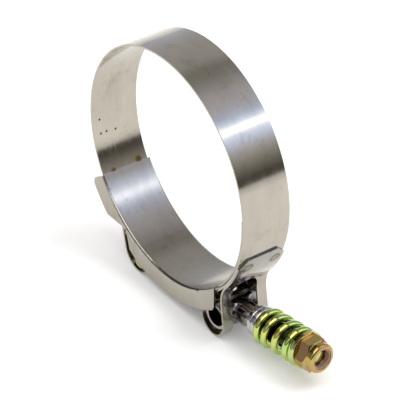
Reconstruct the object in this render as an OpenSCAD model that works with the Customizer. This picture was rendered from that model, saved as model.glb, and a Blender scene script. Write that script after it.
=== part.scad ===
// Spring-loaded T-bolt band clamp for hoses and pipes, standing on its two band loops.
// The ring axis is Y, the bolt runs towards +X, +Z is up and the origin is the ring centre.
// Angles round the ring are measured from its bottom, positive towards the nut (+X).

/* [Ring] */
// Radius of the hose or pipe that the clamp closes on
bore_r = 43; // [38:0.5:60]
// Width of the band
band_w = 19; // [17:0.5:25]
// Thickness of the band strip
band_t = 0.7; // [0.5:0.05:1]
// Film of air between leaves that lie on each other
seam = 0.02; // [0.01:0.01:0.1]

/* [Bridge] */
// Thickness of the bridge sheet
bridge_t = 0.7; // [0.5:0.05:0.9]
// Outer radius of the bend between web and flange
bend_r = 1; // [1:0.1:1.4]
// Step by which the welded pad lies further out than the free web
pad_step = 0.45; // [0.2:0.05:0.7]
// Height of the long flanges above the inside of the web
flange_h = 7.4; // [5:0.1:8]
// Height of the short tab flanges above the inside of the pad
tab_h = 7.5; // [5:0.1:8]
// Radius of the rounded corner of the tab
tab_corner = 3; // [1:0.5:4]
// Angle of the welded end of the bridge
pad_end = -58.6; // [-64:0.2:-54]
// Angle at which the tab ends
tab_end = -34.4; // [-37:0.2:-33]
// Angle at which the long flanges begin
flange_start = -32.6; // [-33:0.2:-31]
// Angle at which the sheet has come down from the pad to the hose
settle_angle = -20; // [-24:1:-16]
// Angle at which the flanges end
flange_end = 42.4; // [38:0.2:46]
// Width of the tongue beyond the flanges
tongue_w = 18; // [14:0.5:19]
// Angle of the free end of the bridge
web_end = 94; // [90:1:100]

/* [Loops] */
// Distance of the nut-side loop from the ring's middle plane
nut_loop_x = 27.6; // [26:0.2:31]
// Distance of the head-side loop from the ring's middle plane
head_loop_x = 16.95; // [16:0.05:20]
// Outer radius of the head-side loop
head_loop_r = 8.2; // [8:0.1:9]
// Tighter outer radius on the inner side of the head-side loop
head_turn_r = 5; // [4.5:0.1:6]
// Lean of the nut-side loop's outer leg towards the ring
nut_lean = 8; // [4:1:12]
// Lean of the head-side loop's outer leg towards the ring
head_lean = -13; // [-16:1:-8]
// Straight length of the nut-side loop's outer leg
nut_leg = 8; // [6:0.2:8.6]
// Straight length of the head-side loop's outer leg
head_leg = 6.5; // [5:0.1:7]
// Inside radius of the fold where the band turns into a loop
fold_r = 1.5; // [1:0.1:2]
// Width of the slots for the bolt and the trunnion neck
slot_w = 11; // [10.6:0.1:12]
// Angle of the top of the nut-side slot
slot_top = 50; // [46:0.5:56]
// Angle of the end of the nut-side leaf
nut_leaf_end = 72.2; // [64:0.2:74]
// Angle of the end of the head-side leaf
head_leaf_end = 60.6; // [59.4:0.2:66]
// Corner cut at the ends of the leaves
leaf_chamfer = 3.2; // [1:0.2:5]

/* [Bolt] */
// Diameter of the bolt's thread
thread_d = 6.35; // [5.8:0.05:7]
// Diameter of the plain shank
shank_d = 5.7; // [5:0.05:5.8]
// Diameter of the T head's cross bar
head_d = 5.9; // [5.8:0.1:6.6]
// Length of the T head's cross bar
head_len = 13.4; // [12.4:0.2:15]
// Distance from the trunnion's axis to the T head's axis
head_reach = 44.85; // [43.5:0.05:46]
// Sideways skew of the bolt, as it lies loose in its slots
bolt_skew = 4; // [0:0.2:4.4]
// Rise of the bolt towards the nut
bolt_tilt = 4.6; // [4:0.1:6]
// Clearance between the shank and the bridge web
web_gap = 0.67; // [0.5:0.01:1]
// Clearance between the T head and its loop
head_gap = 0.5; // [0.4:0.05:0.7]
// Sideways offset of the trunnion in its loop
side_offset = 0.4; // [0:0.1:0.6]

/* [Trunnion] */
// Outer diameter of the rolled barrel
barrel_d = 9.9; // [9.4:0.1:10.4]
// Length of the barrel
barrel_len = 18; // [16:0.2:18.6]
// Wall thickness of the barrel
barrel_wall = 1.1; // [0.8:0.05:1.3]
// Direction of the barrel's flat, above the bolt's axis
flat_angle = 57; // [50:1:64]
// Depth of the barrel's flat
flat_depth = 0.65; // [0.4:0.05:0.9]
// Clearance of the barrel in its loop
barrel_gap = 0.2; // [0.2:0.01:0.3]
// Outer diameter of the neck
neck_d = 8.6; // [8:0.1:8.8]
// Outer diameter of the rolled collar at the end of the neck
collar_d = 11; // [10:0.1:11.6]
// Distance from the trunnion's axis to the collar
collar_start = 11.6; // [8:0.1:12]
// Length of the collar
collar_len = 2.1; // [1.6:0.1:3]
// Radius of the fillet from the barrel to the neck
neck_fillet = 2.6; // [1:0.1:3]
// Distance from the trunnion's axis to the fillet
neck_start = 2.9; // [2:0.1:4]
// Running clearance round the bolt in the trunnion, seat and washer, and above it in the slots
bolt_clear = 0.25; // [0.15:0.05:0.4]

/* [Spring] */
// Outer diameter of the coil
spring_d = 13.8; // [13:0.1:15]
// Diameter of the spring wire
wire_d = 2.7; // [2.2:0.1:2.8]
// Free length of the spring
spring_len = 19.9; // [19:0.1:24]
// Number of open turns
open_turns = 2.5; // [2:0.1:3]
// Angle at which the wire starts
wire_start = 310; // [0:1:360]
// Thickness of the spring seat's flange
seat_flange_t = 2.3; // [1.6:0.1:3]
// Diameter of the spring seat's flange
seat_flange_d = 11.8; // [11:0.1:13]
// Diameter of the guide sleeve inside the spring
sleeve_d = 7.8; // [7.4:0.05:8]
// Length of the guide sleeve beyond the flange
sleeve_len = 10; // [6:0.5:11]

/* [Nut] */
// Diameter of the washer
washer_d = 13.4; // [12.5:0.1:15]
// Thickness of the washer
washer_t = 1.2; // [0.8:0.1:2]
// Width of the nut across its flats
nut_af = 11.1; // [10.6:0.1:12]
// Length of the nut
nut_len = 7.4; // [7:0.1:9]
// Length of the nut's hexagonal part
hex_len = 4.9; // [4:0.1:5]
// Diameter of the nut's round collar
nut_collar_d = 10.7; // [9.8:0.1:10.9]
// Clearance between the bolt's thread and the bores of the nut and its insert
thread_gap = 0.05; // [0.03:0.01:0.1]
// Diameter of the insert
insert_d = 7.9; // [7.6:0.1:8.4]
// Length of the insert
insert_len = 1.7; // [1.2:0.1:1.9]
// Depth of the insert below the nut's end
insert_depth = 0.35; // [0.2:0.05:0.5]
// Width of the lip that holds the insert
insert_lip = 0.12; // [0.1:0.01:0.3]
// Depth of the bolt's end below the nut's end
bolt_depth = 2.2; // [2.1:0.05:2.6]

/* [Hidden] */
$fn = 96;
overrun = 1;

steel = [0.78, 0.76, 0.71];
bright_steel = [0.72, 0.72, 0.74];
green_zinc = [0.70, 0.74, 0.30];
gold_zinc = [0.72, 0.56, 0.30];
insert_grey = [0.45, 0.38, 0.38];

// Radii of the ring's layers, from the inside out
web_out_r = bore_r + bridge_t;
pad_in_r = bore_r + pad_step;
band_in_r = pad_in_r + bridge_t + seam;
band_out_r = band_in_r + band_t;
leaf_in_r = band_out_r + seam;
leaf_out_r = leaf_in_r + band_t;

// The bolt passes just below the web, and the loops reach just below its head
pivot = [
    nut_loop_x,
    side_offset,
    nut_loop_x * tan(bolt_tilt) - (web_out_r + shank_d / 2 + web_gap) / cos(bolt_tilt)
];
head_z = pivot.z - head_reach * sin(bolt_tilt);
floor_z = head_z - head_d / 2 - head_gap - band_t;
nut_loop_r = barrel_d / 2 + barrel_len / 2 * sin(bolt_skew) + barrel_gap + band_t;
turn_angle = 235;

// A strip begins a little inside the layer it grows from, thinner than that layer
root_share = 0.3;
root_angle = 1;
lap_angle = 0.1;
slit_angle = 0.01;
film = seam / 4;

// Shapes of the ends of the bridge's flanges
slant_angle = 8.5;
end_angle = 5.5;
round_share = 0.1;
lip_share = 1.5;

// Places along the bolt, measured from the trunnion's axis
seat_start = collar_start + collar_len;
spring_start = seat_start + seat_flange_t;
washer_start = spring_start + spring_len;
nut_start = washer_start + washer_t;
nut_end = nut_start + nut_len;
bolt_end = nut_end - bolt_depth;
thread_start = -barrel_d / 2 - 2 * overrun;
bore_d = thread_d + 2 * bolt_clear;

// The wire of the spring
coil_r = (spring_d - wire_d) / 2;
end_share = 0.17;
end_rise = end_share * wire_d;
closed_share = 1.02;
closed_pitch = closed_share * wire_d;
open_pitch = (spring_len - 2 * (end_rise + closed_pitch)) / open_turns;
all_turns = open_turns + 2;
wire_steps = 26;
wire_sides = 12;

function polar(r, angle) = [r * sin(angle), -r * cos(angle)];
function direction(angle) = [cos(angle), sin(angle)];
function angle_of(p) = atan2(p.y, p.x);
function length_of(p) = sqrt(p * p);

// Height of the wire's centre line after a number of turns: closed, open, then closed again
function wire_height(turn) =
    end_rise + (turn < 1
        ? closed_pitch * turn
        : turn < 1 + open_turns
            ? closed_pitch + open_pitch * (turn - 1)
            : closed_pitch + open_pitch * open_turns + closed_pitch * (turn - 1 - open_turns));

// A wedge from angle a to angle b, both counted anticlockwise from +X
module wedge(radius, a, b) {
    steps = ceil((b - a) / 30);
    points = [for (i = [0 : steps]) 2 * radius * direction(a + (b - a) * i / steps)];
    polygon(concat([[0, 0]], points));
}

// A strip bent to an arc, seen from the side
module arc_strip(inner, outer, a, b) {
    intersection() {
        difference() {
            circle(r = outer);
            circle(r = inner);
        }
        wedge(outer, a, b);
    }
}

// Points on the two faces of a strip bent round a centre, as [outer face, inner face]
function bent(centre, outer, inner, a, b, steps, first = 0) = [
    for (i = [first : steps])
        let (n = direction(a + (b - a) * i / steps))
        [centre + outer * n, centre + inner * n]
];

// Thinner end of a strip that lies inside the ring layer it grows from
function root(inner_r, t, angle) =
    [[polar(inner_r + root_share * t, angle), polar(inner_r + (1 - root_share) * t, angle)]];

// Side view of a strip from the pairs of points on its faces
module strip(pairs) {
    count = len(pairs);
    polygon(concat([for (p = pairs) p[0]], [for (i = [count - 1 : -1 : 0]) pairs[i][1]]));
}

// Turns a side view into a solid of the given width across the ring
module across(width) {
    rotate([90, 0, 0])
        linear_extrude(height = width, center = true)
            children();
}

// Places its children at an angle of the ring: local X points outwards and Z along the ring
module at_angle(angle) {
    rotate([0, 90 - angle, 0])
        children();
}

// Places its children on the bolt: local X runs along it from the trunnion's axis
module on_bolt() {
    translate(pivot)
        rotate([0, -bolt_tilt, bolt_skew])
            children();
}

// A round piece turned about the bolt, drawn as [distance from the axis, distance along the bolt]
module turned_on_bolt() {
    on_bolt()
        rotate([0, 90, 0])
            rotate_extrude()
                children();
}

// The corner from which the band folds into a loop
function fold_centre(inner_x) =
    let (x = inner_x + band_t + fold_r, r = band_out_r + fold_r)
    [x, -sqrt(r * r - x * x)];

function loop_centre(x, radius) = [x, floor_z + radius];

function turn_centre(x, radius, turn_radius) =
    loop_centre(x, radius) + (radius - turn_radius) * direction(turn_angle);

// Upper end of a loop's outer leg
function leg_top(x, radius, lean, leg) =
    loop_centre(x, radius) + radius * direction(lean) + leg * direction(lean + 90);

// Centre of the arc that lays the outer leg against the band
function flare_centre(x, radius, lean, leg) =
    let (
        p = leg_top(x, radius, lean, leg),
        n = direction(lean),
        r = (p * p - leaf_out_r * leaf_out_r) / (2 * (leaf_out_r - p * n))
    )
    p + r * n;

function ring_angle(p) = atan2(p.x, -p.y);

// Side view of one loop: fold, inner leg, turn, outer leg, flare and the leaf on the band
module loop_strip(x, radius, turn_radius, lean, leg, leaf_end) {
    centre = loop_centre(x, radius);
    turn = turn_centre(x, radius, turn_radius);
    inner_x = turn.x - turn_radius;
    fold = fold_centre(inner_x);
    flare = flare_centre(x, radius, lean, leg);
    flare_r = length_of(flare) - leaf_out_r;
    strip(concat(
        root(band_in_r, band_t, ring_angle(fold) + root_angle),
        bent(fold, fold_r + band_t - film, fold_r + film, angle_of(-fold), 180, 12),
        bent(turn, turn_radius, turn_radius - band_t, 180, turn_angle, 12),
        bent(centre, radius, radius - band_t, turn_angle - 360, lean, 36, 1),
        bent(flare, flare_r, flare_r + band_t, lean + 180, angle_of(-flare), 18),
        bent([0, 0], leaf_out_r, leaf_in_r, ring_angle(flare) - 90, leaf_end - 90, 30, 1)
    ));
}

// Slot round one loop, open from the fold to the top of the outer leg
module loop_slot(x, inner_x, fold, top_z) {
    depth = slot_w / 2;
    translate([inner_x - overrun, -depth, floor_z - overrun])
        cube([x - inner_x + 2 * overrun, slot_w, fold.y + bolt_clear - floor_z + overrun]);
    translate([x, -depth, floor_z - overrun])
        cube([leaf_out_r, slot_w, top_z - depth - floor_z + overrun]);
    translate([x, 0, top_z - depth])
        rotate([0, 90, 0])
            cylinder(r = depth, h = leaf_out_r);
}

// Corner cuts at the end of a leaf
module leaf_corners(leaf_end) {
    at_angle(leaf_end)
        for (side = [-1, 1])
            translate([band_in_r, 0, 0])
                rotate([90, 0, 90])
                    linear_extrude(height = 3 * band_t)
                        polygon([
                            [side * (band_w / 2 - leaf_chamfer), 0],
                            [side * (band_w / 2 - leaf_chamfer), overrun],
                            [side * (band_w / 2 + overrun), overrun],
                            [side * (band_w / 2 + overrun), -leaf_chamfer - overrun],
                        ]);
}

// One strip: the ring, folded at both ends into a slotted loop and laid back on itself
module band() {
    nut_turn = turn_centre(nut_loop_x, nut_loop_r, nut_loop_r);
    head_turn = turn_centre(head_loop_x, head_loop_r, head_turn_r);
    nut_inner = nut_turn.x - nut_loop_r;
    head_inner = head_turn.x - head_turn_r;
    nut_fold = fold_centre(nut_inner);
    head_fold = fold_centre(head_inner);
    head_slot_top = loop_centre(head_loop_x, head_loop_r).y;
    color(steel)
        difference() {
            union() {
                across(band_w) {
                    arc_strip(
                        band_in_r, band_out_r,
                        ring_angle(nut_fold) - 90 - lap_angle, 270 - ring_angle(head_fold) + lap_angle
                    );
                    loop_strip(nut_loop_x, nut_loop_r, nut_loop_r, nut_lean, nut_leg, nut_leaf_end);
                }
                mirror([1, 0, 0])
                    across(band_w)
                        loop_strip(head_loop_x, head_loop_r, head_turn_r, head_lean, head_leg, head_leaf_end);
            }
            difference() {
                union() {
                    loop_slot(nut_loop_x, nut_inner, nut_fold, polar(leaf_out_r, slot_top).y);
                    leaf_corners(nut_leaf_end);
                    mirror([1, 0, 0]) {
                        loop_slot(head_loop_x, head_inner, head_fold, head_slot_top);
                        leaf_corners(head_leaf_end);
                    }
                }
                rotate([90, 0, 0])
                    cylinder(r = band_out_r + seam / 2, h = 2 * band_w, center = true);
            }
        }
}

// Outline of a channel that opens outwards, made smaller all round by an inset
module channel_outline(inside_r, height, inset) {
    edge = band_w / 2;
    translate([inside_r + inset, -edge])
        square([height, 2 * edge]);
    translate([inside_r + bend_r, -edge - bend_r + inset])
        square([height, 2 * (edge + bend_r - inset)]);
    for (side = [-edge, edge])
        translate([inside_r + bend_r, side])
            circle(r = bend_r - inset);
}

// A bent channel: the web with a flange on both sides, between two angles of the ring
module channel(inside_r, height, a, b, inset) {
    rotate([90, 0, 0])
        rotate([0, 0, a - 90])
            rotate_extrude(angle = b - a)
                difference() {
                    channel_outline(inside_r, height, inset);
                    channel_outline(inside_r, height + 2 * bend_r, bridge_t - inset);
                }
}

// Points of an arc round a corner, from angle a to angle b
function corner(centre, r, a, b) =
    [for (i = [0 : 6]) centre + r * direction(a + (b - a) * i / 6)];

// Side outline of the tab flange beside the welded pad
module tab_outline() {
    outer = pad_in_r + tab_h;
    start_angle = pad_end - 90;
    corner_centre = (outer - tab_corner) * direction(start_angle)
        + tab_corner * direction(start_angle + 90);
    low_z = polar(pad_in_r + 2 * bend_r, tab_end).y;
    intersection() {
        circle(r = outer, $fn = 180);
        polygon(concat(
            [bore_r / 2 * direction(tab_end - 90), bore_r / 2 * direction(start_angle)],
            [pad_in_r * direction(start_angle)],
            corner(corner_centre, tab_corner, start_angle - 90, start_angle),
            [
                (outer + tab_h) * direction(start_angle + slant_angle),
                [-outer, low_z],
                [polar(pad_in_r, tab_end).x, low_z]
            ]
        ));
    }
}

// Side outline of the long flange: a slanted start, an arc and a steep square end
module flange_outline() {
    outer = bore_r + flange_h;
    low = polar(bore_r, flange_start);
    high = polar(outer, flange_start + slant_angle);
    far = outer / cos(flange_end);
    intersection() {
        circle(r = outer, $fn = 180);
        polygon([
            polar(bore_r / 2, flange_start), low, high + round_share * (low - high),
            polar(outer + bend_r, flange_start + 2 * slant_angle), polar(far, 0), polar(far, slant_angle),
            polar(outer + bend_r, flange_end - slant_angle), polar(outer - bend_r, flange_end - end_angle),
            polar(bore_r + bend_r, flange_end + lap_angle), polar(bore_r, flange_end + root_angle),
            polar(bore_r / 2, flange_end + root_angle)
        ]);
    }
}

// The bridge: a web inside the band, with a welded pad and stiffening flanges
module bridge() {
    // The pad's end of the sheet is an arc of its own that runs into the web
    start = polar(pad_in_r, pad_end);
    settle = polar(bore_r, settle_angle);
    chord = start - settle;
    pad_arc_r = -(chord * chord) * bore_r / (2 * chord * settle);
    centre = settle * (1 - pad_arc_r / bore_r);
    color(steel) {
        intersection() {
            union() {
                translate([centre.x, 0, centre.y])
                    channel(pad_arc_r, tab_h, ring_angle(start - centre) - root_angle, settle_angle - slit_angle, 0);
                channel(bore_r, tab_h, settle_angle - root_angle, settle_angle + root_angle, film);
                channel(bore_r, tab_h, settle_angle, flange_end, 0);
            }
            across(2 * band_w) {
                tab_outline();
                flange_outline();
                arc_strip(
                    bore_r / 2, pad_in_r + lip_share * bend_r,
                    tab_end - root_angle - 90, flange_start + root_angle - 90
                );
            }
        }
        across(tongue_w)
            arc_strip(bore_r, web_out_r, flange_end - lap_angle - 90, web_end - 90);
    }
}

// Section of the rolled barrel, a circle with one flat, made smaller all round by an inset
module barrel_section(inset) {
    intersection() {
        circle(d = barrel_d - 2 * inset);
        rotate(flat_angle)
            translate([-barrel_d, -barrel_d])
                square([barrel_d + barrel_d / 2 - flat_depth - inset, 2 * barrel_d]);
    }
}

// The trunnion: a rolled barrel with a drawn neck that ends in a collar
module trunnion() {
    neck_r = neck_d / 2;
    flare_end = neck_start + neck_fillet;
    flare_z = (barrel_d - barrel_wall) / 2;
    flare_end_z = neck_r - barrel_wall / 4;
    color(bright_steel)
        difference() {
            union() {
                on_bolt()
                    across(barrel_len)
                        barrel_section(0);
                turned_on_bolt() {
                    square([neck_r, collar_start]);
                    translate([0, collar_start])
                        collar_section(collar_d / 2, collar_len);
                }
                intersection() {
                    turned_on_bolt()
                        difference() {
                            square([neck_r + neck_fillet, flare_end]);
                            translate([neck_r + neck_fillet, flare_end])
                                circle(r = neck_fillet);
                        }
                    on_bolt()
                        across(barrel_len)
                            polygon([
                                [0, -flare_z], [flare_end, -flare_end_z], [flare_end, flare_end_z], [0, flare_z]
                            ]);
                }
            }
            on_bolt()
                across(barrel_len + 2 * overrun)
                    barrel_section(barrel_wall);
            on_bolt()
                rotate([0, 90, 0])
                    translate([0, 0, -barrel_d])
                        cylinder(d = bore_d, h = 2 * barrel_d + seat_start);
        }
}

// A disc's half section with rounded rims
module collar_section(r, t) {
    rim = t / 3;
    square([r - rim, t]);
    translate([0, rim])
        square([r, t - 2 * rim]);
    for (h = [rim, t - rim])
        translate([r - rim, h])
            circle(r = rim);
}

// The spring seat: a flanged sleeve that guides the spring on the bolt
module spring_seat() {
    color(bright_steel)
        turned_on_bolt()
            difference() {
                translate([0, seat_start]) {
                    collar_section(seat_flange_d / 2, seat_flange_t);
                    square([sleeve_d / 2, seat_flange_t + sleeve_len]);
                }
                translate([0, seat_start - overrun])
                    square([bore_d / 2, seat_flange_t + sleeve_len + 2 * overrun]);
            }
}

// The spring: round wire with closed ends, ground flat
module spring() {
    steps = ceil(all_turns * wire_steps);
    rings = [
        for (i = [0 : steps])
            let (turn = all_turns * i / steps, angle = wire_start - 360 * turn)
            [
                for (k = [0 : wire_sides - 1])
                    let (
                        a = 360 * k / wire_sides,
                        r = coil_r + wire_d / 2 * cos(a),
                        h = wire_height(turn) + wire_d / 2 * sin(a)
                    )
                    [max(0, min(spring_len, h)), r * cos(angle), r * sin(angle)]
            ]
    ];
    points = [for (ring = rings) for (p = ring) p];
    sides = [
        for (i = [0 : steps - 1])
            for (k = [0 : wire_sides - 1])
                let (n = (k + 1) % wire_sides)
                [
                    i * wire_sides + k, i * wire_sides + n,
                    (i + 1) * wire_sides + n, (i + 1) * wire_sides + k
                ]
    ];
    // Each end face starts from the corner farthest from its flat
    first = [for (k = [0 : wire_sides - 1]) (wire_sides * 5 / 4 - k) % wire_sides];
    last = [for (k = [0 : wire_sides - 1]) steps * wire_sides + (wire_sides * 3 / 4 + k) % wire_sides];
    color(green_zinc)
        on_bolt()
            translate([spring_start, 0, 0])
                polyhedron(points = points, faces = concat([first], sides, [last]));
}

// The T bolt: a forged cross bar on a plain shank with a thread at the other end
module t_bolt() {
    shank_r = shank_d / 2;
    thread_r = thread_d / 2;
    bar_round = head_d / 6;
    bar_half = head_len / 2;
    color(green_zinc) {
        on_bolt()
            translate([-head_reach, 0, 0])
                rotate([90, 0, 0])
                    rotate_extrude()
                        union() {
                            translate([0, -bar_half])
                                square([head_d / 2 - bar_round, head_len]);
                            translate([0, bar_round - bar_half])
                                square([head_d / 2, head_len - 2 * bar_round]);
                            for (h = [bar_round - bar_half, bar_half - bar_round])
                                translate([head_d / 2 - bar_round, h])
                                    circle(r = bar_round);
                        }
        turned_on_bolt()
            polygon([
                [0, -head_reach], [shank_r, -head_reach], [shank_r, thread_start],
                [thread_r, thread_start + thread_r - shank_r], [thread_r, bolt_end - thread_r / 4],
                [thread_r * 3 / 4, bolt_end], [0, bolt_end]
            ]);
    }
}

// The flat washer between the spring and the nut
module washer() {
    color(green_zinc)
        turned_on_bolt()
            translate([bore_d / 2, washer_start])
                square([(washer_d - bore_d) / 2, washer_t]);
}

// Half section of the space that the lock nut may fill: chamfered hexagon, groove and collar
module nut_section() {
    corner_r = nut_af / 2 / cos(30);
    chamfer = corner_r - nut_af / 2;
    collar_r = nut_collar_d / 2;
    rim = collar_r / 5;
    polygon([
        [0, 0], [nut_af / 2, 0], [corner_r, chamfer / 2], [corner_r, hex_len - chamfer],
        [collar_r, hex_len], [0, hex_len]
    ]);
    translate([0, hex_len - chamfer])
        square([collar_r, nut_len - hex_len + chamfer - rim]);
    translate([0, hex_len])
        square([collar_r - rim, nut_len - hex_len]);
    translate([collar_r - rim, nut_len - rim])
        circle(r = rim);
}

// The lock nut, with the recess that holds its insert
module lock_nut() {
    hole_r = thread_d / 2 + thread_gap;
    lip_r = insert_d / 2 - insert_lip;
    color(gold_zinc)
        on_bolt()
            translate([nut_start, 0, 0])
                rotate([0, 90, 0])
                    difference() {
                        intersection() {
                            rotate([0, 0, 30])
                                cylinder(d = nut_af / cos(30), h = nut_len, $fn = 6);
                            rotate_extrude()
                                nut_section();
                        }
                        translate([0, 0, -overrun])
                            cylinder(r = hole_r, h = nut_len + 2 * overrun);
                        translate([0, 0, nut_len - insert_depth - insert_len])
                            cylinder(d = insert_d, h = insert_len);
                        translate([0, 0, nut_len - insert_depth - overrun / 2])
                            cylinder(r = lip_r, h = insert_depth + overrun);
                    }
}

// The insert ring that grips the thread
module nut_insert() {
    color(insert_grey)
        on_bolt()
            translate([nut_end - insert_depth - insert_len, 0, 0])
                rotate([0, 90, 0])
                    difference() {
                        cylinder(d = insert_d, h = insert_len);
                        translate([0, 0, -overrun])
                            cylinder(r = thread_d / 2 + thread_gap, h = insert_len + 2 * overrun);
                    }
}

band();
bridge();
trunnion();
spring_seat();
spring();
t_bolt();
washer();
lock_nut();
nut_insert();
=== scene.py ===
import math

import bmesh
import bpy
from mathutils import Matrix, Vector


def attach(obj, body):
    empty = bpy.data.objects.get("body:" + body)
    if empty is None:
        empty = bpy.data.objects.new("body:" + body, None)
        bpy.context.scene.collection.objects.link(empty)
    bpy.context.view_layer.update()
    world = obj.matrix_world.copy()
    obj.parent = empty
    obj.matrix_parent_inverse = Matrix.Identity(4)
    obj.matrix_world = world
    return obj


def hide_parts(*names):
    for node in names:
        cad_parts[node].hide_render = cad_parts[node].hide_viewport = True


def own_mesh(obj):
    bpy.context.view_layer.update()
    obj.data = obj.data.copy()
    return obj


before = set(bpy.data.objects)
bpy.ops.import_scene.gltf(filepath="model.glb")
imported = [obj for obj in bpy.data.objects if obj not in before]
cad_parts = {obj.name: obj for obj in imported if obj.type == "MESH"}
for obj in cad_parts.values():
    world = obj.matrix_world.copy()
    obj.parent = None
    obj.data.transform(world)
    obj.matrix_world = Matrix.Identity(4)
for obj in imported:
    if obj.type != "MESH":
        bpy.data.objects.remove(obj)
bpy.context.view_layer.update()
MM = 0.001

# ---------------------------------------------------------------- values repeated from part.scad, in mm
PIVOT = Vector((27.6, 0.4, -45.1519))
SKEW, TILT = math.radians(4), math.radians(4.6)
FLOOR_Z = -52.8988
HEAD_REACH, HEAD_D, HEAD_LEN = 44.85, 5.9, 13.4
NUT_LEAF_END, BAND_OUT_R, BARREL_IN_R = 72.2, 44.87, 3.9
SHANK_D, THREAD_D, THREAD_START = 5.7, 6.35, -6.95
COLLAR_START, COLLAR_LEN, SEAT_T = 11.6, 2.1, 2.3
SPRING_START = COLLAR_START + COLLAR_LEN + SEAT_T
SPRING_LEN, SPRING_D, WIRE_D = 19.9, 13.8, 2.7
OPEN_TURNS, WIRE_START = 2.5, 310
WASHER_T, NUT_LEN, BOLT_DEPTH = 1.2, 7.4, 2.2
BOLT_END = SPRING_START + SPRING_LEN + WASHER_T + NUT_LEN - BOLT_DEPTH
PITCH = 25.4 / 28

BOLT = Matrix.Translation(PIVOT * MM) @ Matrix.Rotation(SKEW, 4, "Z") @ Matrix.Rotation(-TILT, 4, "Y")
ALONG = (BOLT.to_3x3() @ Vector((1, 0, 0))).normalized()


# ---------------------------------------------------------------- node helpers
class Net:
    """A node tree, with short calls to add nodes and join them."""

    def __init__(self, tree):
        self.tree = tree

    def add(self, kind, inputs=None, **settings):
        node = self.tree.nodes.new(kind)
        for key, value in settings.items():
            setattr(node, key, value)
        for key, value in (inputs or {}).items():
            self.put(node.inputs[key], value)
        return node

    def put(self, socket, value):
        if isinstance(value, bpy.types.NodeSocket):
            self.tree.links.new(value, socket)
        else:
            socket.default_value = value

    def math(self, op, a, b=0.0, c=0.0, clamp=False):
        return self.add("ShaderNodeMath", {0: a, 1: b, 2: c}, operation=op, use_clamp=clamp).outputs[0]

    def vec(self, op, a, b=(0, 0, 0), out=0):
        return self.add("ShaderNodeVectorMath", {0: a, 1: b}, operation=op).outputs[out]

    def scale(self, a, k):
        node = self.add("ShaderNodeVectorMath", {0: a}, operation="SCALE")
        self.put(node.inputs["Scale"], k)
        return node.outputs[0]

    def range(self, value, a, b, c, d, smooth=False):
        kind = "SMOOTHSTEP" if smooth else "LINEAR"
        node = self.add("ShaderNodeMapRange", {0: value, 1: a, 2: b, 3: c, 4: d}, interpolation_type=kind)
        return node.outputs[0]

    def mix(self, factor, a, b, blend="MIX"):
        node = self.add("ShaderNodeMix", data_type="RGBA", blend_type=blend)
        self.put(node.inputs[0], factor)
        self.put(node.inputs[6], a)
        self.put(node.inputs[7], b)
        return node.outputs[2]

    def ramp(self, value, stops, kind="LINEAR"):
        node = self.add("ShaderNodeValToRGB", {0: value})
        ramp = node.color_ramp
        ramp.interpolation = kind
        while len(ramp.elements) < len(stops):
            ramp.elements.new(0.5)
        for element, (place, color) in zip(ramp.elements, stops):
            element.position = place
            element.color = (*color, 1)
        return node.outputs[0]

    def noise(self, vector, scale, detail=3, rough=0.55):
        inputs = {"Vector": vector, "Scale": scale, "Detail": detail, "Roughness": rough}
        return self.add("ShaderNodeTexNoise", inputs).outputs[0]


def grey(value):
    return (value, value, value, 1)


def group(name, inputs, outputs, kind="ShaderNodeTree"):
    tree = bpy.data.node_groups.new(name, kind)
    for label, socket in inputs:
        tree.interface.new_socket(label, in_out="INPUT", socket_type=socket)
    for label, socket in outputs:
        tree.interface.new_socket(label, in_out="OUTPUT", socket_type=socket)
    net = Net(tree)
    return net, net.add("NodeGroupInput").outputs, net.add("NodeGroupOutput").inputs


def use(net, tree, **inputs):
    node = net.add("ShaderNodeGroup", node_tree=tree)
    for key, value in inputs.items():
        net.put(node.inputs[key], value)
    return node.outputs


def new_material(name):
    mat = bpy.data.materials.new(name)
    mat.use_nodes = True
    mat.node_tree.nodes.clear()
    return mat, Net(mat.node_tree)


# ---------------------------------------------------------------- shared effects
def rolled_streaks():
    """Fine lines along the strip: long round the ring's axis, short across its width."""
    net, given, out = group(
        "rolled_streaks", [("Vector", "NodeSocketVector")],
        [("Lines", "NodeSocketFloat"), ("Clouds", "NodeSocketFloat")])
    apart = net.add("ShaderNodeSeparateXYZ", {0: given[0]})
    flat = net.add("ShaderNodeCombineXYZ", {0: apart.outputs[0], 2: apart.outputs[2]}).outputs[0]
    round_ring = net.vec("NORMALIZE", flat)
    long_way = net.scale(round_ring, 0.012)
    across = net.add("ShaderNodeCombineXYZ", {1: apart.outputs[1]}).outputs[0]
    lines = net.noise(net.vec("ADD", long_way, net.scale(across, 9.0)), 320, 4, 0.7)
    clouds = net.noise(net.vec("ADD", net.scale(round_ring, 0.03), net.scale(across, 1.6)), 90, 3, 0.6)
    net.put(out[0], lines)
    net.put(out[1], clouds)
    return net.tree


def spot_mask():
    """One inside a soft-edged ball round a point, nothing outside it."""
    net, given, out = group(
        "spot_mask",
        [("Vector", "NodeSocketVector"), ("Centre", "NodeSocketVector"),
         ("Inner", "NodeSocketFloat"), ("Outer", "NodeSocketFloat")],
        [("Mask", "NodeSocketFloat")])
    far = net.vec("DISTANCE", given[0], given[1], "Value")
    net.put(out[0], net.range(far, given["Inner"], given["Outer"], 1.0, 0.0, True))
    return net.tree


STREAKS = rolled_streaks()
SPOT = spot_mask()


def spot(net, place, centre, inner, outer):
    return use(net, SPOT, Vector=place, Centre=[v * MM for v in centre], Inner=inner * MM, Outer=outer * MM)[0]


# ---------------------------------------------------------------- materials
WELDS = [(41.95, -5.3, -18.0), (41.65, 6.1, -18.6), (34.9, 6.8, -29.7)]
PITS = [(-44.0, -6.4, -3.9), (-43.2, -6.5, -9.3), (-43.1, -0.3, -9.6), (-43.2, -4.1, -9.2)]


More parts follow.
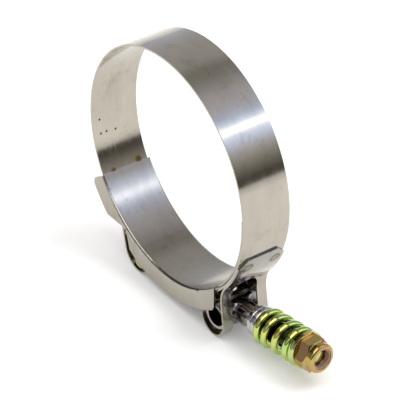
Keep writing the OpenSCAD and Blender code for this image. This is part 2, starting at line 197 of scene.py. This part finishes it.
def round_ring(net, place):
    """Angle from the ring's bottom towards the nut, and distance from the ring's axis."""
    apart = net.add("ShaderNodeSeparateXYZ", {0: place})
    angle = net.math("ARCTAN2", apart.outputs[0], net.math("MULTIPLY", apart.outputs[2], -1.0))
    flat = net.add("ShaderNodeCombineXYZ", {0: apart.outputs[0], 1: apart.outputs[2]}).outputs[0]
    return angle, net.vec("LENGTH", flat, out="Value")


def leaf_mask(net, place):
    """One on the leaf that is welded down beside the nut-side loop."""
    angle, far = round_ring(net, place)
    return net.math("MULTIPLY", net.range(angle, 0.95, 1.1, 0, 1, True),
                    net.math("GREATER_THAN", far, (BAND_OUT_R + 0.06) * MM))


def leaf_end_shade_mask(net, place):
    """One on the sheared end of the nut-side leaf, where a line of painted shade is laid."""
    angle, far = round_ring(net, place)
    off = net.math("ABSOLUTE", net.math("SUBTRACT", angle, math.radians(NUT_LEAF_END)))
    layer = net.math("COMPARE", far, (BAND_OUT_R + 0.24) * MM, 0.18 * MM)
    return net.math("MULTIPLY", net.math("LESS_THAN", off, 0.0012), layer)


def strip_steel(name, marks_and_shade, rough, tone):
    """Bright rolled stainless strip."""
    mat, net = new_material(name)
    place = net.add("ShaderNodeTexCoord").outputs["Object"]
    lines, clouds = use(net, STREAKS, Vector=place)
    pale, dull = [(*(tone * v for v in rgb), 1) for rgb in ((0.475, 0.437, 0.372), (0.415, 0.376, 0.312))]
    color = net.mix(net.range(clouds, 0.35, 0.7, 0, 1), pale, dull)
    color = net.mix(net.range(lines, 0.3, 0.75, 0, 0.35), color, (*(tone * v for v in (0.54, 0.51, 0.455)), 1))
    blots = net.noise(place, 130, 4, 0.6)
    color = net.mix(net.range(blots, 0.58, 0.74, 0, 0.4), color, (0.30, 0.25, 0.185, 1))
    stains = net.noise(place, 520, 2, 0.5)
    color = net.mix(net.range(stains, 0.68, 0.76, 0, 0.35), color, (0.24, 0.16, 0.09, 1))
    height = net.math("MULTIPLY", lines, 0.35)
    if marks_and_shade:
        weld = 0.0
        for centre in WELDS:
            rim = net.math("SUBTRACT", spot(net, place, centre, 1.9, 2.5), spot(net, place, centre, 0.6, 1.6))
            rim = net.math("MAXIMUM", rim, net.math("MULTIPLY", spot(net, place, centre, 1.8, 2.3), 0.55))
            weld = net.math("MAXIMUM", weld, rim)
        color = net.mix(weld, color, (0.15, 0.085, 0.03, 1))
        pit = 0.0
        for centre in PITS:
            pit = net.math("MAXIMUM", pit, spot(net, place, centre, 0.25, 0.6))
        color = net.mix(pit, color, (0.05, 0.045, 0.04, 1))
        heat = spot(net, place, (-38.1, 5.9, -22.3), 0.5, 1.9)
        heat = net.math("MAXIMUM", heat, spot(net, place, (-37.9, -5.0, -22.7), 0.3, 1.6))
        heat = net.math("MULTIPLY", heat, net.range(blots, 0.3, 0.5, 0.5, 1))
        color = net.mix(heat, color, (0.24, 0.13, 0.03, 1))
        color = net.mix(net.math("MULTIPLY", leaf_mask(net, place), 0.26), color, (0.12, 0.14, 0.17, 1))
        # Painted shade: the sheared end of the nut-side leaf is painted nearly black
        cut = leaf_end_shade_mask(net, place)
        color = net.mix(cut, color, (0.03, 0.028, 0.025, 1))
        height = net.math("SUBTRACT", height, net.math("MULTIPLY", weld, 0.4))
        height = net.math("SUBTRACT", height, pit)
    rough = net.range(lines, 0.25, 0.8, rough, rough + 0.11)
    edge = net.add("ShaderNodeBevel", {"Radius": 0.00012}, samples=4).outputs[0]
    bump = net.add("ShaderNodeBump", {"Strength": 0.16, "Distance": 0.00004, "Height": height, "Normal": edge})
    shader = net.add("ShaderNodeBsdfPrincipled", {
        "Base Color": color, "Metallic": 1.0, "Roughness": rough, "Normal": bump.outputs[0]})
    net.add("ShaderNodeOutputMaterial", {0: shader.outputs[0]})
    return mat


def polished_steel(name):
    """Drawn and tumbled stainless: smooth, with soft dents and a few scratches."""
    mat, net = new_material(name)
    place = net.add("ShaderNodeTexCoord").outputs["Object"]
    soft = net.noise(place, 260, 3, 0.5)
    fine = net.noise(place, 1500, 4, 0.65)
    color = net.mix(net.range(soft, 0.35, 0.7, 0, 1), (0.56, 0.54, 0.54, 1), (0.37, 0.34, 0.325, 1))
    # Painted shade: the inside of the rolled barrel is painted nearly black
    local = net.vec("SUBTRACT", place, PIVOT * MM)
    spin = net.add("ShaderNodeVectorRotate", {"Vector": local, "Axis": (0, 0, 1), "Angle": -SKEW}).outputs[0]
    apart = net.add("ShaderNodeSeparateXYZ", {0: spin})
    flat = net.add("ShaderNodeCombineXYZ", {0: apart.outputs[0], 1: apart.outputs[2]}).outputs[0]
    inside = net.math("LESS_THAN", net.vec("LENGTH", flat, out="Value"), BARREL_IN_R * MM)
    color = net.mix(inside, color, (0.03, 0.028, 0.027, 1))
    # Painted shade and dark reflection: the neck's root between the two legs of the loop is painted dark
    along = net.vec("DOT_PRODUCT", local, tuple(ALONG), "Value")
    off = net.math("ABSOLUTE", apart.outputs[1])
    root = net.math("MULTIPLY", net.range(along, 0.0085, 0.011, 1, 0), net.range(off, 0.005, 0.0065, 1, 0))
    color = net.mix(net.math("MULTIPLY", root, 0.65), color, (0.10, 0.085, 0.07, 1))
    # Painted shade: the seat's sleeve inside the spring is painted nearly black
    color = net.mix(net.math("GREATER_THAN", along, SPRING_START * MM), color, (0.05, 0.045, 0.035, 1))
    rough = net.range(fine, 0.3, 0.7, 0.10, 0.2)
    edge = net.add("ShaderNodeBevel", {"Radius": 0.00025}, samples=4).outputs[0]
    height = net.math("ADD", net.math("MULTIPLY", soft, 1.5), net.math("MULTIPLY", fine, 0.2))
    bump = net.add("ShaderNodeBump", {"Strength": 0.25, "Distance": 0.0001, "Height": height, "Normal": edge})
    shader = net.add("ShaderNodeBsdfPrincipled", {
        "Base Color": color, "Metallic": 1.0, "Roughness": rough, "Normal": bump.outputs[0]})
    net.add("ShaderNodeOutputMaterial", {0: shader.outputs[0]})
    return mat


def zinc(name, stops, rough, grain, bevel, shank=False):
    """Zinc with a chromate film whose colour wanders over the surface and turns at grazing angles."""
    mat, net = new_material(name)
    place = net.add("ShaderNodeTexCoord").outputs["Object"]
    wander = net.noise(place, grain, 3, 0.6)
    facing = net.add("ShaderNodeLayerWeight", {"Blend": 0.42}).outputs["Facing"]
    film = net.math("ADD", net.range(wander, 0.25, 0.75, 0, 0.62), net.math("MULTIPLY", facing, 0.38))
    color = net.ramp(film, stops)
    if shank:
        # Painted shade: shank and thread are painted nearly black between the head and the washer
        along = net.vec("DOT_PRODUCT", net.vec("SUBTRACT", place, PIVOT * MM), tuple(ALONG), "Value")
        plain = net.math("MULTIPLY", net.range(along, -0.0405, -0.039, 0, 1), net.range(along, 0.0350, 0.0359, 1, 0))
        color = net.mix(net.math("MULTIPLY", plain, 0.85), color, (0.03, 0.028, 0.022, 1))
    fine = net.noise(place, 2200, 3, 0.6)
    edge = net.add("ShaderNodeBevel", {"Radius": bevel}, samples=4).outputs[0]
    soft = net.noise(place, 420, 2, 0.5)
    height = net.math("MULTIPLY_ADD", fine, 0.12, soft)
    bump = net.add("ShaderNodeBump", {"Strength": 0.22, "Distance": 0.00008, "Height": height, "Normal": edge})
    shader = net.add("ShaderNodeBsdfPrincipled", {
        "Base Color": color, "Metallic": 1.0, "Roughness": net.range(fine, 0.3, 0.7, rough, rough + 0.07),
        "Normal": bump.outputs[0]})
    net.add("ShaderNodeOutputMaterial", {0: shader.outputs[0]})
    return mat


def nylon(name):
    mat, net = new_material(name)
    place = net.add("ShaderNodeTexCoord").outputs["Object"]
    fine = net.noise(place, 900, 3, 0.6)
    color = net.mix(net.range(fine, 0.3, 0.7, 0, 1), (0.30, 0.19, 0.165, 1), (0.42, 0.28, 0.245, 1))
    bump = net.add("ShaderNodeBump", {"Strength": 0.3, "Distance": 0.0001, "Height": fine})
    shader = net.add("ShaderNodeBsdfPrincipled", {
        "Base Color": color, "Roughness": 0.42, "Normal": bump.outputs[0]})
    net.add("ShaderNodeOutputMaterial", {0: shader.outputs[0]})
    return mat


GREEN = [(0.0, (0.74, 0.55, 0.13)), (0.3, (0.60, 0.60, 0.155)), (0.55, (0.44, 0.60, 0.20)),
         (0.8, (0.24, 0.50, 0.34)), (1.0, (0.32, 0.42, 0.42))]
GOLD = [(0.0, (0.62, 0.43, 0.14)), (0.3, (0.43, 0.33, 0.09)), (0.5, (0.54, 0.29, 0.12)),
        (0.75, (0.47, 0.23, 0.15)), (1.0, (0.30, 0.28, 0.10))]
PALE = [(0.0, (0.74, 0.58, 0.16)), (0.4, (0.56, 0.54, 0.20)), (0.7, (0.36, 0.44, 0.22)), (1.0, (0.50, 0.38, 0.28))]

BAND_STEEL = strip_steel("band_steel", True, 0.09, 1.0)
BRIDGE_STEEL = strip_steel("bridge_steel", False, 0.16, 0.9)
BARREL_STEEL = polished_steel("trunnion_steel")
SPRING_ZINC = zinc("spring_zinc", GREEN, 0.09, 110, 0.0002)
BOLT_ZINC = zinc("bolt_zinc", PALE, 0.14, 140, 0.0002, True)
NUT_ZINC = zinc("nut_zinc", GOLD, 0.12, 260, 0.0003)
INSERT = nylon("insert_nylon")


# ---------------------------------------------------------------- pieces
def smooth(mesh):
    mesh.polygons.foreach_set("use_smooth", [True] * len(mesh.polygons))


def bake(name, tree, mat):
    """A plain mesh object from a geometry node tree that needs no input."""
    carrier = bpy.data.objects.new(name + "_maker", bpy.data.meshes.new(name + "_maker"))
    bpy.context.collection.objects.link(carrier)
    carrier.modifiers.new("nodes", "NODES").node_group = tree
    graph = bpy.context.evaluated_depsgraph_get()
    mesh = bpy.data.meshes.new_from_object(carrier.evaluated_get(graph))
    bpy.data.objects.remove(carrier)
    mesh.name = name
    if not mesh.materials:
        mesh.materials.append(mat)
    obj = bpy.data.objects.new(name, mesh)
    bpy.context.collection.objects.link(obj)
    return obj


def maker(name):
    net, given, out = group(name, [], [("Geometry", "NodeSocketGeometry")], "GeometryNodeTree")
    return net, out[0]


def finish_tree(net, out, geometry, mat):
    """Realizes what the tree made, puts it on the bolt and gives it its material."""
    real = net.add("GeometryNodeRealizeInstances", {0: geometry}).outputs[0]
    turn = BOLT.to_euler()
    placed = net.add("GeometryNodeTransform", {
        "Geometry": real, "Translation": BOLT.to_translation(), "Rotation": turn}).outputs[0]
    net.put(out, net.add("GeometryNodeSetMaterial", {"Geometry": placed, "Material": mat}).outputs[0])


def spring_tree():
    """Round wire swept along the helix, with its ends cut flat."""
    net, out = maker("spring_coil")
    count = 420
    turns = OPEN_TURNS + 2
    end_rise = 0.17 * WIRE_D
    closed = WIRE_D * 1.02
    pitch = (SPRING_LEN - 2 * (end_rise + closed)) / OPEN_TURNS
    line = net.add("GeometryNodeMeshLine", {"Count": count}).outputs[0]
    index = net.add("GeometryNodeInputIndex").outputs[0]
    turn = net.math("MULTIPLY", index, turns / (count - 1))
    low = net.math("MINIMUM", turn, 1.0)
    middle = net.math("MINIMUM", net.math("MAXIMUM", net.math("SUBTRACT", turn, 1.0), 0.0), OPEN_TURNS)
    high = net.math("MAXIMUM", net.math("SUBTRACT", turn, 1.0 + OPEN_TURNS), 0.0)
    height = net.math("MULTIPLY_ADD", low, closed, end_rise)
    height = net.math("MULTIPLY_ADD", middle, pitch, height)
    height = net.math("MULTIPLY_ADD", high, closed, height)
    angle = net.math("MULTIPLY_ADD", turn, -2 * math.pi, math.radians(WIRE_START))
    coil_r = (SPRING_D - WIRE_D) / 2
    point = net.add("ShaderNodeCombineXYZ", {
        0: net.math("ADD", height, SPRING_START),
        1: net.math("MULTIPLY", net.math("COSINE", angle), coil_r),
        2: net.math("MULTIPLY", net.math("SINE", angle), coil_r)}).outputs[0]
    path = net.add("GeometryNodeSetPosition", {"Geometry": line, "Position": net.scale(point, MM)}).outputs[0]
    curve = net.add("GeometryNodeMeshToCurve", {0: path}).outputs[0]
    wire = net.add("GeometryNodeCurvePrimitiveCircle", {"Resolution": 28, "Radius": WIRE_D / 2 * MM}).outputs[0]
    tube = net.add("GeometryNodeCurveToMesh", {"Curve": curve, "Profile Curve": wire, "Fill Caps": True}).outputs[0]
    at = net.add("GeometryNodeInputPosition").outputs[0]
    flat = net.vec("MINIMUM", net.vec("MAXIMUM", at, (SPRING_START * MM, -1, -1)),
                   ((SPRING_START + SPRING_LEN) * MM, 1, 1))
    ground = net.add("GeometryNodeSetPosition", {"Geometry": tube, "Position": flat}).outputs[0]
    finish_tree(net, out, ground, SPRING_ZINC)
    return net.tree


def thread_tree():
    """The screw's surface: a grid rolled round the bolt, its radius running down and up once in each pitch."""
    net, out = maker("bolt_thread")
    start, length = THREAD_START + 0.4, BOLT_END - THREAD_START - 0.4
    rows, sides = 620, 40
    grid = net.add("GeometryNodeMeshGrid", {
        "Size X": 1.0, "Size Y": 1.0, "Vertices X": rows, "Vertices Y": sides + 1}).outputs[0]
    at = net.add("ShaderNodeSeparateXYZ", {0: net.add("GeometryNodeInputPosition").outputs[0]})
    along = net.math("MULTIPLY_ADD", at.outputs[0], length, start + length / 2)
    angle = net.math("MULTIPLY", at.outputs[1], 2 * math.pi)
    phase = net.math("SUBTRACT", net.math("DIVIDE", along, PITCH), at.outputs[1])
    wave = net.math("PINGPONG", phase, 0.5)
    depth = net.range(wave, 0.07, 0.44, 0.0, 0.5)
    tip = net.range(along, BOLT_END - 1.1, BOLT_END, 0.0, 0.9)
    radius = net.math("SUBTRACT", THREAD_D / 2, net.math("MAXIMUM", depth, tip))
    point = net.add("ShaderNodeCombineXYZ", {
        0: along, 1: net.math("MULTIPLY", net.math("COSINE", angle), radius),
        2: net.math("MULTIPLY", net.math("SINE", angle), radius)}).outputs[0]
    rolled = net.add("GeometryNodeSetPosition", {"Geometry": grid, "Position": net.scale(point, MM)}).outputs[0]
    closed = net.add("GeometryNodeMergeByDistance", {"Geometry": rolled, "Distance": 1e-6}).outputs[0]
    finish_tree(net, out, closed, BOLT_ZINC)
    return net.tree


def turned(bm, profile, matrix, sides=48):
    """Adds a closed body turned about its local Z axis from points [radius, height] that start and end on the axis."""
    rings = []
    for r, h in profile:
        if r < 1e-9:
            rings.append([bm.verts.new(matrix @ Vector((0, 0, h)))])
        else:
            rings.append([
                bm.verts.new(matrix @ Vector((
                    r * math.cos(2 * math.pi * i / sides), r * math.sin(2 * math.pi * i / sides), h)))
                for i in range(sides)])
    for low, high in zip(rings, rings[1:]):
        for i in range(sides):
            j = (i + 1) % sides
            face = [low[i % len(low)], low[j % len(low)], high[j % len(high)], high[i % len(high)]]
            face = list(dict.fromkeys(face))
            if len(face) > 2:
                bm.faces.new(face)
    return bm


def bolt_mesh():
    """Shank, cross bar and bolt end; the thread is rolled over it."""
    bm = bmesh.new()
    along = BOLT @ Matrix.Rotation(math.pi / 2, 4, "Y")
    r, s = SHANK_D / 2 * MM, HEAD_REACH * MM
    t, core = THREAD_START * MM, (THREAD_D / 2 - 0.42) * MM
    end = BOLT_END * MM
    profile = [(0, -s), (r, -s), (r, t), (core, t + 0.4 * MM), (core, end - 0.9 * MM),
               (core - 0.6 * MM, end - 0.02 * MM), (core - 0.8 * MM, end), (0, end)]
    turned(bm, profile, along)
    bar, half, rim = HEAD_D / 2 * MM, HEAD_LEN / 2 * MM, 1.1 * MM
    outline = [(0, -half)]
    for i in range(0, 7):
        a = math.pi / 2 * i / 6
        outline.append((bar - rim + rim * math.sin(a), -half + rim - rim * math.cos(a)))
    outline += [(r0, -h0) for r0, h0 in reversed(outline)]
    across = BOLT @ Matrix.Translation((-s, 0, 0)) @ Matrix.Rotation(math.pi / 2, 4, "X")
    turned(bm, outline, across)
    bmesh.ops.recalc_face_normals(bm, faces=bm.faces)
    mesh = bpy.data.meshes.new("bolt_body")
    bm.to_mesh(mesh)
    bm.free()
    smooth(mesh)
    mesh.materials.append(BOLT_ZINC)
    return mesh


def place(obj, body, slot, *nodes):
    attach(obj, body)
    if nodes:
        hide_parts(*nodes)
    return obj


spring = bake("spring_coil", spring_tree(), SPRING_ZINC)
smooth(spring.data)
place(spring, "trunnion", "green_zinc", "spring")
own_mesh(spring)

thread = bake("bolt_thread", thread_tree(), BOLT_ZINC)
smooth(thread.data)
place(thread, "t_bolt", "green_zinc")
bolt = bpy.data.objects.new("bolt_body", bolt_mesh())
bpy.context.collection.objects.link(bolt)
place(bolt, "t_bolt", "green_zinc", "t_bolt")

FINISH = {
    "band": BAND_STEEL, "bridge": BRIDGE_STEEL, "trunnion": BARREL_STEEL, "spring_seat": BARREL_STEEL,
    "washer": BOLT_ZINC, "lock_nut": NUT_ZINC, "nut_insert": INSERT,
}
for node, mat in FINISH.items():
    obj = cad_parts[node]
    for slot in obj.material_slots:
        slot.material = mat


# ---------------------------------------------------------------- studio
def stage_mesh(name, bm, mat):
    mesh = bpy.data.meshes.new(name)
    bm.to_mesh(mesh)
    bm.free()
    mesh.materials.append(mat)
    obj = bpy.data.objects.new(name, mesh)
    bpy.context.collection.objects.link(obj)
    return obj


def make_floor():
    mat, net = new_material("floor_paper")
    place = net.add("ShaderNodeTexCoord").outputs["Object"]
    tone = net.noise(place, 3, 2, 0.5)
    color = net.mix(net.range(tone, 0.3, 0.7, 0, 1), (0.965, 0.965, 0.965, 1), (0.975, 0.973, 0.968, 1))
    shader = net.add("ShaderNodeBsdfPrincipled", {
        "Base Color": color, "Roughness": 0.9, "Specular IOR Level": 0.0})
    path = net.add("ShaderNodeLightPath").outputs
    seen = net.math("MAXIMUM", path["Is Camera Ray"], path["Is Glossy Ray"])
    seen = net.math("MAXIMUM", seen, path["Is Transmission Ray"])
    lift = net.add("ShaderNodeEmission", {"Color": (1, 1, 1, 1), "Strength": net.math("MULTIPLY", seen, 0.13)})
    both = net.add("ShaderNodeAddShader", {0: shader.outputs[0], 1: lift.outputs[0]})
    net.add("ShaderNodeOutputMaterial", {0: both.outputs[0]})
    bm = bmesh.new()
    bmesh.ops.create_circle(bm, cap_ends=True, segments=96, radius=0.85)
    floor = stage_mesh("floor", bm, mat)
    floor.location.z = FLOOR_Z * MM - 0.00005
    return floor


# What the walls of the studio show to a shiny surface, by the angle above the right-hand horizon
WALLS = [
    (0.0, (0.05, 0.046, 0.04)), (0.035, (0.09, 0.085, 0.075)), (0.11, (0.40, 0.39, 0.36)),
    (0.17, (0.70, 0.70, 0.75)), (0.222, (1.1, 1.3, 1.85)), (0.255, (1.5, 1.68, 2.2)), (0.263, (3.1, 3.45, 4.2)),
    (0.286, (3.0, 3.3, 4.0)), (0.297, (1.4, 1.62, 2.2)), (0.333, (0.82, 0.97, 1.38)), (0.39, (0.71, 0.73, 0.86)),
    (0.47, (0.60, 0.60, 0.66)), (0.555, (0.38, 0.37, 0.38)), (0.61, (0.31, 0.31, 0.30)), (0.67, (0.50, 0.50, 0.50)),
    (0.83, (0.54, 0.55, 0.58)), (1.0, (0.65, 0.69, 0.80)),
]


WALL_R = 3.0
NEAR_DARK, BOX_LIGHT = 0.12, 2.4


def make_walls():
    mat, net = new_material("studio_walls")
    at = net.add("ShaderNodeSeparateXYZ", {0: net.add("ShaderNodeTexCoord").outputs["Object"]})
    angle = net.math("ARCTAN2", at.outputs[2], at.outputs[0])
    share = net.math("DIVIDE", angle, math.pi)
    color = net.ramp(share, WALLS)
    # Towards the camera's side the studio is dark, which gives round pieces their dark bands
    side = net.math("DIVIDE", at.outputs[1], WALL_R)
    behind = net.range(side, 0.16, 0.42, NEAR_DARK, 1.0, True)
    # Further round, behind the camera's back, it is half as bright as on the far side
    behind = net.math("ADD", behind, net.range(side, -0.72, -0.54, 0.45, 0.0, True))
    # A long soft box hangs over the front of the table
    box = net.math("MULTIPLY", net.range(side, -0.64, -0.50, 0, 1, True), net.range(side, 0.07, 0.18, 1, 0, True))
    box = net.math("MULTIPLY", box, net.range(share, 0.20, 0.30, 0, 1, True))
    box = net.math("MULTIPLY", box, net.range(share, 0.44, 0.76, 1, 0, True))
    color = net.mix(box, color, (1, 0.99, 0.97, 1))
    glow = net.add("ShaderNodeEmission", {
        "Color": color, "Strength": net.math("MULTIPLY_ADD", box, BOX_LIGHT, behind)})
    net.add("ShaderNodeOutputMaterial", {0: glow.outputs[0]})
    bm = bmesh.new()
    bmesh.ops.create_uvsphere(bm, u_segments=96, v_segments=48, radius=WALL_R)
    low = [v for v in bm.verts if v.co.z < -0.001]
    bmesh.ops.delete(bm, geom=low, context="VERTS")
    walls = stage_mesh("studio_walls", bm, mat)
    walls.visible_camera = False
    walls.visible_diffuse = False
    walls.visible_shadow = False
    walls.visible_transmission = False
    return walls


def make_world():
    world = bpy.data.worlds.new("studio")
    bpy.context.scene.world = world
    world.use_nodes = True
    world.node_tree.nodes.clear()
    net = Net(world.node_tree)
    path = net.add("ShaderNodeLightPath").outputs
    seen = net.math("MAXIMUM", path["Is Camera Ray"], path["Is Glossy Ray"])
    seen = net.math("MAXIMUM", seen, path["Is Transmission Ray"])
    strength = net.range(seen, 0, 1, 0.72, 1.0)
    sky = net.add("ShaderNodeBackground", {"Color": (1, 1, 1, 1), "Strength": strength})
    net.add("ShaderNodeOutputWorld", {0: sky.outputs[0]})


def area_light(name, place, aim, size, power, color=(1, 1, 1)):
    light = bpy.data.lights.new(name, "AREA")
    light.shape = "DISK"
    light.size = size
    light.energy = power
    light.color = color
    obj = bpy.data.objects.new(name, light)
    bpy.context.collection.objects.link(obj)
    obj.location = place
    obj.rotation_euler = (Vector(aim) - Vector(place)).to_track_quat("-Z", "Y").to_euler()
    obj.visible_glossy = False
    return obj


make_floor()
make_walls()
make_world()
area_light("key", (0.35, 0.45, 0.9), (0, 0, 0), 0.7, 4.2)
area_light("top", (-0.35, -0.2, 1.0), (0, 0, 0), 0.9, 2.6)

# ---------------------------------------------------------------- camera
camera_data = bpy.data.cameras.new("camera")
camera_data.lens = 209.88
camera_data.sensor_width = 36
camera = bpy.data.objects.new("camera", camera_data)
bpy.context.collection.objects.link(camera)
right = Vector((0.59000, 0.80740, 0))
up = Vector((-0.46692, 0.34119, 0.81583))
forward = Vector((-0.65870, 0.48134, -0.57830))
turn = Matrix((right, up, -forward)).transposed()
camera.matrix_world = Matrix.Translation((0.55629, -0.39767, 0.46511)) @ turn.to_4x4()
bpy.context.scene.camera = camera
bpy.context.scene.view_settings.view_transform = "Standard"
